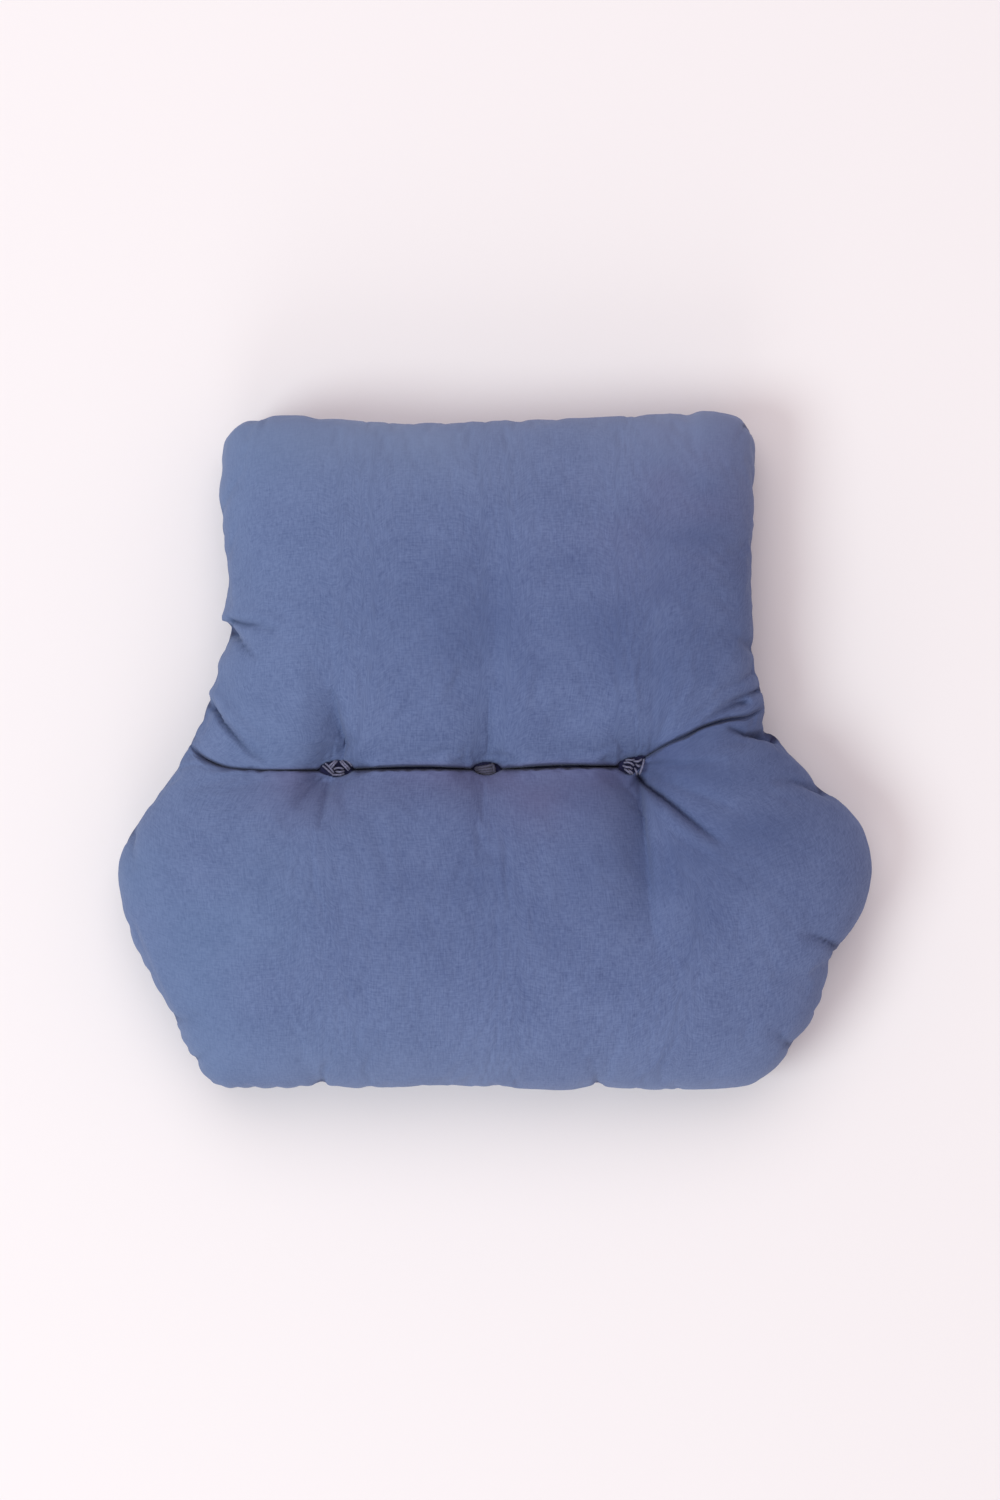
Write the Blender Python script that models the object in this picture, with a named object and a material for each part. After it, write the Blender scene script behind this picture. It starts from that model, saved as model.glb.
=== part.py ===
"""Backrest pillow: one filled cushion of two lobes, drawn in along a crease by three twine tufts.

The pillow lies on its back. +Z is up, and +Y runs from the wide lower lobe to the narrow upper lobe.
The origin is under the middle of its bounding box, on the surface that it rests on.
The tables and sizes are in millimetres, and the objects are made in metres.
"""

import bpy
import numpy as np

METRES_PER_MM = 0.001

# Outline: the edge seam seen from above, as four sides for each lobe, from (x, y) points
LOWER_LEFT_SIDE = [  # from the bottom left corner, round the wing, to the left waist
    (-225, -267), (-236, -256), (-246, -240), (-261, -208), (-278, -176), (-292, -144), (-300, -112),
    (-301, -94), (-298, -80), (-290, -64), (-268, -33), (-256, -16), (-248, -1), (-244, 5),
]
LOWER_RIGHT_SIDE = [  # from the bottom right corner, round the wing and two notches, to the right waist
    (224, -255), (237, -240), (248, -224), (257, -207), (263, -190), (268, -167), (275, -159), (285, -144),
    (294, -126), (300, -106), (301, -90), (295, -65), (283, -48), (264, -33), (247, -16), (233, 1),
    (226, 10), (218, 13), (215, 22), (217, 34),
]
UPPER_LEFT_SIDE = [  # from the left waist, over one notch, to the top left corner
    (-244, 5), (-238, 16), (-232, 32), (-226, 48), (-217, 80), (-211, 95), (-215, 108), (-213, 144),
    (-217, 176), (-220, 213), (-217, 240), (-208, 256),
]
UPPER_RIGHT_SIDE = [  # from the right waist to the top right corner
    (217, 34), (214, 48), (208, 72), (206, 112), (205, 144), (207, 176), (208, 214), (210, 240), (205, 258),
]
BOTTOM_SIDE = [  # from the bottom left corner to the bottom right corner
    (-225, -267), (-204, -271), (-156, -270), (-138, -267.5), (-126, -270), (-76, -269), (-36, -268),
    (20, -270), (54, -271), (82, -268), (94, -270), (148, -271), (196, -269), (212, -263), (224, -255),
]
TOP_SIDE = [  # from the top left corner to the top right corner
    (-208, 256), (-198, 262), (-186, 262.5), (-179, 265.5), (-150, 264), (-110, 261), (-70, 260),
    (-28, 261), (36, 262.5), (84, 264.5), (130, 268), (153, 268.5), (165, 271), (183, 270), (198, 266),
    (205, 258),
]

# The crease between the lobes, from the left waist to the right waist
CREASE = [
    (-244, 5), (-236, -3), (-224, -8), (-203, -13), (-175, -15), (-125, -15), (-60, -14), (-6, -15),
    (52, -13), (92, -13), (112, -12.5), (123, -7), (134, 2.5), (149, 11), (165, 18), (182, 25), (201, 30),
    (217, 34),
]
CREASE_LEVEL = [  # height of the crease's bottom above the edge seam, along x
    (-244, 12.0), (-160, 20.0), (124, 20.0), (136, 29.0), (154, 40.0), (180, 44.0), (217, 44.0),
]

# Tufts: x on the crease, then the length, width and height of the knot in its pocket
TUFTS = {
    "tuft_left": dict(x=-125.5, length=25.0, width=13.5, height=8.5, twist=0.5),
    "tuft_centre": dict(x=-6.0, length=21.0, width=11.5, height=7.5, twist=2.1),
    "tuft_right": dict(x=107.5, length=19.0, width=13.5, height=8.5, twist=3.6),
}
POCKET_MARGIN_X = 7.5  # from the knot's end to the end of its pocket
POCKET_MARGIN_Y = 6.0  # from the knot's side to the wall of its pocket
POCKET_FADE = 32.0  # how far up the lobes the pocket's opening reaches
KNOT_GAP = 0.35  # from the pocket's floor up to the knot
KNOT_BASE_SQUARENESS = 0.55  # how far the knot's underside is flattened
KNOT_RIDGES = 5  # half waves of strands of twine along the knot
KNOT_RIDGE_HEIGHT = 0.55
KNOT_RIDGE_SLANT = 2.0

# Heights of the filled lobes
SEAM_HEIGHT = 51.0  # the edge seam above the surface below
LOWER_CROWN = 76.0  # the lower lobe's front above its seam, before the edge curves take some of it
UPPER_CROWN = 71.0
BACK_DEPTH = 71.0  # the back below the seam, before the surface flattens it
CORNER_DROOP = 13.0  # the seam sinks towards the free corners
CORNER_DROOP_ACROSS, CORNER_DROOP_ALONG = 4, 3  # how near the corners that is, as powers
WING_DROOP = 7.0  # and at the tips of the wings
WING_PLACE, WING_REACH = 0.62, 0.25  # the wings' tips along the lower lobe, from its bottom seam, 0, to 1
BACK_CREASE = 0.62  # the crease's depth on the back, as a share of the back's depth
BACK_TUFT_PULL = 0.22  # what the tufts add to that
BACK_TUFT_REACH = 26.0
REST_SOFTNESS = 5.0  # how gently the back turns up from the surface

# Edge curves: 1 - t ** FLATNESS, to the power ROUNDNESS, where t is 1 at the edge
SIDE_FLATNESS = 2.6
SIDE_ROUNDNESS = 0.52
END_FLATNESS = 3.0
END_ROUNDNESS = 0.50
CREASE_FLATNESS = 3.2
CREASE_ROUNDNESS = 0.44
CORNER_FULLNESS = 3.0  # how far the corners stay filled, where two edge curves meet
LEVEL_FADE = 1.3  # how soon the crease's bottom reaches its own level, inside the side seams
RELIEF_FADE = 1.5  # how soon the folds reach their full depth, inside the seams and the crease
FOLD_TAPER = 0.7  # how evenly a fold's depth fades towards its end

# Folds and troughs of the front: start, end, depth and half width
FOLDS = [
    dict(start=(-207, 102), end=(-168, 92), depth=3.0, half_width=6.0),
    dict(start=(-211, 95), end=(-184, 68), depth=5.5, half_width=8.0),
    dict(start=(-230, 35), end=(-177, -9), depth=7.0, half_width=9.0),
    dict(start=(-125, -2), end=(-130, 92), depth=9.0, half_width=17.0),
    dict(start=(-6, -2), end=(-2, 150), depth=7.0, half_width=20.0),
    dict(start=(118, -24), end=(125, -165), depth=9.0, half_width=20.0),
    dict(start=(116, -22), end=(170, -77), depth=9.0, half_width=10.0),
    dict(start=(188, 17), end=(226, 9), depth=8.0, half_width=9.0),
    dict(start=(-132, -22), end=(-154, -44), depth=6.0, half_width=9.0),
    dict(start=(-120, -22), end=(-114, -52), depth=5.0, half_width=9.0),
]
# Lumps of the filling: centre, radius and height
LUMPS = [
    dict(centre=(-150, -130), radius=95.0, height=3.0),
    dict(centre=(40, -95), radius=80.0, height=2.5),
    dict(centre=(175, -70), radius=75.0, height=4.0),
    dict(centre=(-60, 170), radius=90.0, height=2.5),
    dict(centre=(120, 110), radius=85.0, height=2.5),
    dict(centre=(0, 60), radius=45.0, height=-2.0),
]

# Grid of the cushion's sheets, and of a knot
COLUMNS = 48
LOWER_ROWS = 23
UPPER_ROWS = 21
CURVE_STEPS = 400
NOTCH_LENGTH = 0.16  # notches of a side, shorter than this share of it, stay near the side
NOTCH_SAMPLES = 17
NOTCH_FADE = 7.0  # how soon they fade out, into the lobe
SIDE_SEAM_DENSITY = (0.03, 4.0)  # reach, as a share of the grid, and weight of the closer spacing there
TUFT_DENSITY = (0.035, 1.6)
END_SEAM_DENSITY = (0.04, 4.0)
CREASE_DENSITY = (0.06, 6.0)
DENSITY_STEPS = 2000
LEAST_SHARE = 1e-6
KNOT_SIDES = 22
KNOT_RINGS = 9

CLOTH_COLOUR = (0.130, 0.170, 0.320, 1.0)
CLOTH_ROUGHNESS = 0.92
TWINE_COLOUR = (0.150, 0.170, 0.270, 1.0)
TWINE_ROUGHNESS = 0.85


def smooth_curve(points):
    """A function from 0..1, by length, to a point on a smooth curve through the points."""
    knots = np.array(points, float)
    padded = np.vstack([2 * knots[0] - knots[1], knots, 2 * knots[-1] - knots[-2]])
    fine = []
    steps = max(2, CURVE_STEPS // len(knots))
    for before, start, end, after in zip(padded, padded[1:], padded[2:], padded[3:]):
        t = np.linspace(0, 1, steps, endpoint=False)[:, None]
        tangent_in = (end - before) / 2
        tangent_out = (after - start) / 2
        fine.append(
            (2 * t**3 - 3 * t**2 + 1) * start
            + (t**3 - 2 * t**2 + t) * tangent_in
            + (3 * t**2 - 2 * t**3) * end
            + (t**3 - t**2) * tangent_out
        )
    fine = np.vstack([*fine, knots[-1:]])
    length = np.concatenate([[0], np.cumsum(np.linalg.norm(np.diff(fine, axis=0), axis=1))])
    length /= length[-1]

    def at(share):
        return np.stack([np.interp(share, length, fine[:, 0]), np.interp(share, length, fine[:, 1])], -1)

    return at


def graded(count, thick_spots):
    """count + 1 values from 0 to 1, closer together at the thick spots, given as (place, reach, weight)."""
    fine = np.linspace(0, 1, DENSITY_STEPS + 1)
    density = np.ones_like(fine)
    for place, reach, weight in thick_spots:
        density += weight * np.exp(-(((fine - place) / reach) ** 2))
    total = np.concatenate([[0], np.cumsum((density[1:] + density[:-1]) / 2)])
    return np.interp(np.linspace(0, 1, count + 1), total / total[-1], fine)


def broad_side(side, v):
    """A side curve without its small notches, between the same two ends, past which it is mirrored."""
    points = []
    for reach in np.linspace(-NOTCH_LENGTH, NOTCH_LENGTH, NOTCH_SAMPLES):
        at = v + reach
        inside = np.clip(at, 0, 1)
        points.append(2 * side(inside) - side(2 * inside - at))
    return np.mean(points, axis=0)


def coons_patch(u, v, bottom, top, left, right):
    """Points (x, y) of the patch between four side curves; u and v are the grid's shares.

    The notches of the left and right sides fade out a short way into the patch.
    """
    u_grid, v_grid = np.meshgrid(u, v)
    u_col, v_col = u_grid[..., None], v_grid[..., None]
    across = (1 - v_col) * bottom(u)[None] + v_col * top(u)[None]
    left_broad, right_broad = broad_side(left, v)[:, None], broad_side(right, v)[:, None]
    along = (1 - u_col) * left_broad + u_col * right_broad
    along += (1 - u_col) ** NOTCH_FADE * (left(v)[:, None] - left_broad)
    along += u_col**NOTCH_FADE * (right(v)[:, None] - right_broad)
    corners = (
        (1 - u_col) * (1 - v_col) * bottom(0.0)
        + u_col * (1 - v_col) * bottom(1.0)
        + (1 - u_col) * v_col * top(0.0)
        + u_col * v_col * top(1.0)
    )
    return across + along - corners


def edge_curve(t, flatness, roundness):
    """1 well inside, falling round to 0 where t reaches 1."""
    return np.maximum(0.0, 1 - np.clip(np.abs(t), 0, 1) ** flatness) ** roundness


def softer_minimum(a, b):
    """Near the smaller of two edge curves, and 1 where both are 1."""
    a, b = np.maximum(a, LEAST_SHARE), np.maximum(b, LEAST_SHARE)
    return ((a**-CORNER_FULLNESS + b**-CORNER_FULLNESS) / 2) ** (-1 / CORNER_FULLNESS)


def pocket_reach(x):
    """How far the tufts' pockets open the crease, at each x."""
    reach = np.zeros_like(x)
    for tuft in TUFTS.values():
        half_length = tuft["length"] / 2 + POCKET_MARGIN_X
        half_width = tuft["width"] / 2 + POCKET_MARGIN_Y
        share = np.clip((x - tuft["x"]) / half_length, -1, 1)
        reach = np.maximum(reach, half_width * (1 - share**2))
    return reach


def front_relief(xy):
    """What the folds take from the front, and the lumps of the filling add to it."""
    relief = np.zeros(xy.shape[:-1])
    for fold in FOLDS:
        start, end = np.array(fold["start"], float), np.array(fold["end"], float)
        run = end - start
        along = ((xy - start) @ run) / (run @ run)
        nearest = start + np.clip(along, 0, 1)[..., None] * run
        distance = np.linalg.norm(xy - nearest, axis=-1) / fold["half_width"]
        fade = (1 - np.clip(along, 0, 1)) ** FOLD_TAPER
        relief -= fold["depth"] * fade * np.exp(-(distance**2))
    for lump in LUMPS:
        distance = np.linalg.norm(xy - np.array(lump["centre"], float), axis=-1) / lump["radius"]
        relief += lump["height"] * np.exp(-(distance**2))
    return relief


def ease(t):
    """From 0 to 1, level at both ends."""
    t = np.clip(t, 0, 1)
    return t * t * (3 - 2 * t)


def lobe_heights(xy, u, v, crown, wing_droop):
    """Heights of the front and the back of a lobe; v runs from its outer seam, 0, to the crease, 1."""
    u_grid, v_grid = np.meshgrid(u, v)
    side = 2 * u_grid - 1
    across = edge_curve(side, SIDE_FLATNESS, SIDE_ROUNDNESS)
    on_seam = (across == 0) | (v_grid == 0)
    body = np.where(on_seam, 0, softer_minimum(across, edge_curve(1 - v_grid, END_FLATNESS, END_ROUNDNESS)))
    wing = np.exp(-(((v_grid - WING_PLACE) / WING_REACH) ** 2))
    corner = CORNER_DROOP * (1 - v_grid) ** CORNER_DROOP_ALONG
    seam = SEAM_HEIGHT - side**CORNER_DROOP_ACROSS * (corner + wing_droop * wing)

    lobe_length = np.linalg.norm(np.diff(xy, axis=0), axis=-1).sum(0)
    pocket_fade = np.exp(-(((1 - v_grid) * lobe_length / POCKET_FADE) ** 2))
    to_crease = np.clip(v_grid + pocket_reach(xy[..., 0]) * pocket_fade / lobe_length, 0, 1)
    dip = 1 - edge_curve(to_crease, CREASE_FLATNESS, CREASE_ROUNDNESS)
    level_x, level_height = np.array(CREASE_LEVEL, float).T
    level = np.interp(xy[..., 0], level_x, level_height) * np.minimum(1, LEVEL_FADE * across)
    swell = body * (1 - dip)
    front = seam + crown * swell + level * dip + front_relief(xy) * ease(RELIEF_FADE * swell)

    pull = sum(np.exp(-(((xy[..., 0] - tuft["x"]) / BACK_TUFT_REACH) ** 2)) for tuft in TUFTS.values())
    back_dip = 1 - edge_curve(v_grid, CREASE_FLATNESS, CREASE_ROUNDNESS)
    back_body = body * (1 - (BACK_CREASE + BACK_TUFT_PULL * pull) * back_dip)
    hanging = seam - BACK_DEPTH * back_body
    soft = np.clip(hanging, -REST_SOFTNESS, REST_SOFTNESS)
    back = np.where(hanging > REST_SOFTNESS, hanging, (soft + REST_SOFTNESS) ** 2 / (4 * REST_SOFTNESS))
    return front, back


def cushion_surface():
    """The grids of the front and the back, rows from the bottom seam to the top seam, in millimetres."""
    bottom, crease, top = smooth_curve(BOTTOM_SIDE), smooth_curve(CREASE), smooth_curve(TOP_SIDE)
    shares = np.linspace(0, 1, CURVE_STEPS)
    tuft_shares = [np.interp(tuft["x"], crease(shares)[:, 0], shares) for tuft in TUFTS.values()]
    u_spots = [(0, *SIDE_SEAM_DENSITY), (1, *SIDE_SEAM_DENSITY)]
    u_spots += [(share, *TUFT_DENSITY) for share in tuft_shares]
    v_spots = [(0, *END_SEAM_DENSITY), (1, *CREASE_DENSITY)]
    u = graded(COLUMNS, u_spots)
    lower_v, upper_v = graded(LOWER_ROWS, v_spots), graded(UPPER_ROWS, v_spots)

    lower_xy = coons_patch(
        u, lower_v, bottom, crease, smooth_curve(LOWER_LEFT_SIDE), smooth_curve(LOWER_RIGHT_SIDE)
    )
    upper_xy = coons_patch(
        u, upper_v, top, crease, smooth_curve(UPPER_LEFT_SIDE[::-1]), smooth_curve(UPPER_RIGHT_SIDE[::-1])
    )
    lower_front, lower_back = lobe_heights(lower_xy, u, lower_v, LOWER_CROWN, WING_DROOP)
    upper_front, upper_back = lobe_heights(upper_xy, u, upper_v, UPPER_CROWN, 0.0)

    xy = np.concatenate([lower_xy, upper_xy[-2::-1]])
    front = np.concatenate([lower_front, upper_front[-2::-1]])
    back = np.concatenate([lower_back, upper_back[-2::-1]])
    return np.dstack([xy, front]), np.dstack([xy, back])


def new_object(name, vertices, faces, material):
    """A smooth-shaded mesh object from points in metres."""
    mesh = bpy.data.meshes.new(name)
    mesh.from_pydata([tuple(point) for point in vertices], [], faces)
    mesh.update()
    mesh.shade_smooth()
    mesh.materials.append(material)
    obj = bpy.data.objects.new(name, mesh)
    bpy.context.scene.collection.objects.link(obj)
    return obj


def new_material(name, colour, roughness):
    material = bpy.data.materials.new(name)
    material.use_nodes = True
    shader = material.node_tree.nodes["Principled BSDF"]
    shader.inputs["Base Color"].default_value = colour
    shader.inputs["Roughness"].default_value = roughness
    shader.inputs["Metallic"].default_value = 0.0
    return material


def make_cushion(front, back, material):
    """Two sheets that share the edge seam: one closed, filled solid."""
    rows, columns = front.shape[:2]
    front_index = np.arange(rows * columns).reshape(rows, columns)
    back_index = front_index.copy()
    inner = np.arange((rows - 2) * (columns - 2)).reshape(rows - 2, columns - 2)
    back_index[1:-1, 1:-1] = rows * columns + inner
    vertices = np.vstack([front.reshape(-1, 3), back[1:-1, 1:-1].reshape(-1, 3)])
    faces = []
    for row in range(rows - 1):
        for column in range(columns - 1):
            quad = [(row, column), (row, column + 1), (row + 1, column + 1), (row + 1, column)]
            faces.append([int(front_index[place]) for place in quad])
            faces.append([int(back_index[place]) for place in reversed(quad)])
    return new_object("cushion", vertices * METRES_PER_MM, faces, material)


def make_knot(name, tuft, origin, material):
    """A knot of twine: a flattened oval body with the ridges of its strands, on its pocket's floor."""
    half = np.array([tuft["length"], tuft["width"], tuft["height"]]) / 2
    vertices = []
    for ring in range(1, KNOT_RINGS):
        rise = np.pi * (ring / KNOT_RINGS - 0.5)
        for side in range(KNOT_SIDES):
            turn = 2 * np.pi * side / KNOT_SIDES
            unit = np.array([np.cos(turn) * np.cos(rise), np.sin(turn) * np.cos(rise), np.sin(rise)])
            strand = np.cos(np.pi * KNOT_RIDGES * unit[0] + tuft["twist"] + KNOT_RIDGE_SLANT * unit[1])
            point = unit * half + np.array([0, 0, KNOT_RIDGE_HEIGHT * strand * max(0.0, unit[2])])
            if unit[2] < 0:
                point[2] *= KNOT_BASE_SQUARENESS
            vertices.append(point)
    bottom_pole, top_pole = len(vertices), len(vertices) + 1
    vertices.append(np.array([0, 0, -half[2] * KNOT_BASE_SQUARENESS]))
    vertices.append(np.array([0, 0, half[2]]))
    faces = []
    for side in range(KNOT_SIDES):
        after = (side + 1) % KNOT_SIDES
        faces.append([bottom_pole, after, side])
        last = (KNOT_RINGS - 2) * KNOT_SIDES
        faces.append([last + side, last + after, top_pole])
        for ring in range(KNOT_RINGS - 2):
            low = ring * KNOT_SIDES
            high = low + KNOT_SIDES
            faces.append([low + side, low + after, high + after, high + side])
    knot = new_object(name, np.array(vertices) * METRES_PER_MM, faces, material)
    lift = half[2] * KNOT_BASE_SQUARENESS + KNOT_GAP
    knot.location = tuple((np.array(origin) + [0, 0, lift]) * METRES_PER_MM)
    return knot


def main():
    for old in list(bpy.data.objects):
        bpy.data.objects.remove(old)
    cloth = new_material("cloth", CLOTH_COLOUR, CLOTH_ROUGHNESS)
    twine = new_material("twine", TWINE_COLOUR, TWINE_ROUGHNESS)

    front, back = cushion_surface()
    middle = (front[..., :2].min((0, 1)) + front[..., :2].max((0, 1))) / 2
    shift = np.array([middle[0], middle[1], 0.0])
    make_cushion(front - shift, back - shift, cloth)
    crease_x, crease_y = smooth_curve(CREASE)(np.linspace(0, 1, CURVE_STEPS)).T
    for name, tuft in TUFTS.items():
        level = np.interp(tuft["x"], *np.array(CREASE_LEVEL, float).T)
        place = np.array([tuft["x"], np.interp(tuft["x"], crease_x, crease_y), SEAM_HEIGHT + level])
        make_knot(name, tuft, place - shift, twine)


main()
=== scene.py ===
"""Looks of the backrest pillow: its cloth with folds, the twine of its tufts, floor, light and camera.

Tables and sizes are in millimetres, in the frame of the CAD part. Objects are made in metres.
"""

from typing import NamedTuple

import bpy
import numpy as np
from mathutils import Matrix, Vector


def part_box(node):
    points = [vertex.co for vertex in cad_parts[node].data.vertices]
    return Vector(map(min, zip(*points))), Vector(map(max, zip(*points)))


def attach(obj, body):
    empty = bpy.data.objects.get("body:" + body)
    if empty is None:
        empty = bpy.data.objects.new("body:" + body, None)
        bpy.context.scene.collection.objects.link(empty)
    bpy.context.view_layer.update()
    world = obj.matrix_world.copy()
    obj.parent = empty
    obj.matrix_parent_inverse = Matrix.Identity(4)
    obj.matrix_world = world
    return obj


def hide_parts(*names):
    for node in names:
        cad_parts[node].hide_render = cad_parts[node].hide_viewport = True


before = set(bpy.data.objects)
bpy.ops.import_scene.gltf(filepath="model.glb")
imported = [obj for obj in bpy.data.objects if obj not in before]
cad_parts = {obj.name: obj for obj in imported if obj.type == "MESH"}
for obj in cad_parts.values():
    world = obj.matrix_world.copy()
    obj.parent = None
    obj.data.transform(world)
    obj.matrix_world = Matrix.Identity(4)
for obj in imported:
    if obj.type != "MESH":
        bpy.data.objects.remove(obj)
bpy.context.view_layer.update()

METRES_PER_MM = 0.001

# Outline: the edge seam seen from above, as four sides for each lobe, from (x, y) points
LOWER_LEFT_SIDE = [  # from the bottom left corner, round the wing, to the left waist
    (-225, -267), (-236, -256), (-246, -240), (-261, -208), (-278, -176), (-292, -144), (-300, -112),
    (-301, -94), (-298, -80), (-290, -64), (-268, -33), (-256, -16), (-248, -1), (-244, 5),
]
LOWER_RIGHT_SIDE = [  # from the bottom right corner, round the wing and two notches, to the right waist
    (224, -255), (237, -240), (248, -224), (257, -207), (263, -190), (268, -167), (275, -159), (285, -144),
    (294, -126), (300, -106), (301, -90), (295, -65), (283, -48), (264, -33), (247, -16), (233, 1),
    (228, 8), (223, 12), (218, 13.5), (216, 17), (215, 24), (217, 34),
]
UPPER_LEFT_SIDE = [  # from the left waist, over one notch, to the top left corner
    (-244, 5), (-238, 16), (-232, 32), (-226, 48), (-217, 80), (-211, 95), (-215, 108), (-213, 144),
    (-217, 176), (-220, 213), (-218, 239), (-214.5, 249), (-206.5, 255.5),
]
UPPER_RIGHT_SIDE = [  # from the right waist to the top right corner
    (217, 34), (214, 48), (208, 72), (206, 112), (205, 144), (207, 176), (208, 214), (210, 240), (205, 258),
]
BOTTOM_SIDE = [  # from the bottom left corner to the bottom right corner
    (-225, -267), (-204, -271), (-156, -270), (-138, -267.5), (-126, -270), (-76, -269), (-36, -268),
    (20, -270), (54, -271), (82, -268), (94, -270), (148, -271), (196, -269), (212, -263), (224, -255),
]
TOP_SIDE = [  # from the top left corner to the top right corner
    (-206.5, 255.5), (-198, 262.5), (-186, 264.5), (-179, 267), (-150, 265.5), (-110, 262), (-70, 260.5),
    (-28, 261), (36, 262.5), (84, 264.5), (130, 268), (153, 268.5), (165, 271), (183, 270), (198, 266),
    (205, 258),
]

# The crease between the lobes, from the left waist to the right waist
CREASE = [
    (-244, 5), (-237, -2.5), (-226.5, -9), (-211, -14), (-188, -15.8), (-160, -16), (-125, -15.5),
    (-60, -14), (-6, -15), (52, -13), (92, -13), (110, -12.5), (121, -5), (137, 4.5), (152, 11.5),
    (166, 18.5), (183, 23.5), (200, 26), (209, 30), (217, 34),
]
CREASE_LEVEL = [  # height of the crease's bottom above the edge seam, along x
    (-244, 12.0), (-160, 20.0), (124, 20.0), (136, 27.0), (154, 36.0), (180, 40.0), (217, 40.0),
]
# The slit where the lobes press together, between the tufts, under the lip of the upper lobe
SLIT_HALF_WIDTH = 0.5
SLIT_RISE = 12.0  # how much higher the lobes meet between the tufts than in the pockets
SLIT_RISE_REACH = 9.0
SLIT_RISE_RUN = 20.0  # how far from a pocket the rise takes
SLIT_SHADE_REACH = 2.9
SLIT_DEPTH = 6.0
SLIT_REACH = 1.8
SLIT_STRENGTH = [  # how tightly the lobes press together, along x
    (-244, 0.6), (-236, 1.0), (-222, 1.0), (-205, 0.9), (-170, 0.85), (-146, 1.0), (-90, 0.95),
    (-50, 0.9), (-20, 1.0), (20, 0.9), (60, 0.85), (92, 1.0), (104, 1.0), (122, 0.30), (140, 0.35),
    (156, 0.75), (180, 0.95), (206, 0.9), (217, 0.6),
]
LIP_OVERHANG = 1.9
LIP_PLACE = 2.0  # how far from the crease the lip hangs over most
POCKET_EDGE = 3.0  # over how much of its opening a tuft's pocket takes the place of the slit

# Tufts: x on the crease, and the length and width of the knot in its pocket
TUFTS = {
    "tuft_left": dict(x=-126.0, length=25.0, width=12.5),
    "tuft_centre": dict(x=-6.0, length=21.0, width=10.5),
    "tuft_right": dict(x=108.5, length=18.0, width=13.0),
}
POCKET_MARGIN_X = 3.4
POCKET_MARGIN_Y = 0.6
POCKET_FADE = 32.0

# Heights of the filled lobes
SEAM_HEIGHT = 51.0
LOWER_CROWN = 76.0
UPPER_CROWN = 71.0
BACK_DEPTH = 71.0
CORNER_DROOP = 13.0
DROOP_ACROSS, DROOP_ALONG = 4, 3  # how sharply it begins
WING_DROOP = 7.0
WING_PLACE, WING_REACH = 0.62, 0.25
BACK_CREASE = 0.62
BACK_TUFT_PULL = 0.22
BACK_TUFT_REACH = 26.0
REST_SOFTNESS = 5.0

SIDE_FLATNESS = 2.3
SIDE_ROUNDNESS = 0.52
END_FLATNESS = 3.0
END_ROUNDNESS = 0.50
CREASE_FLATNESS = 3.2
CREASE_ROUNDNESS = 0.44
CORNER_FULLNESS = 3.0
LEVEL_FADE = 1.3
RELIEF_FADE = 1.5
PINCH_FADE = 4.0


class Fold(NamedTuple):
    """A fold along a path, with how far it reaches to the path's left and to its right."""

    path: list
    depth: float
    left: float
    right: float
    pinch: float = 0.0  # depth of a narrow line along its bottom
    lip: float = 0.0  # height of a ridge beside it
    lip_at: float = 0.0  # how far to the left of the path the ridge lies
    tail: float = 0.0  # share of its depth that is left at the end of the path
    head: float = 0.0  # share of the path over which it begins
    soft: bool = False  # round at its bottom, where other folds have a line


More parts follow.
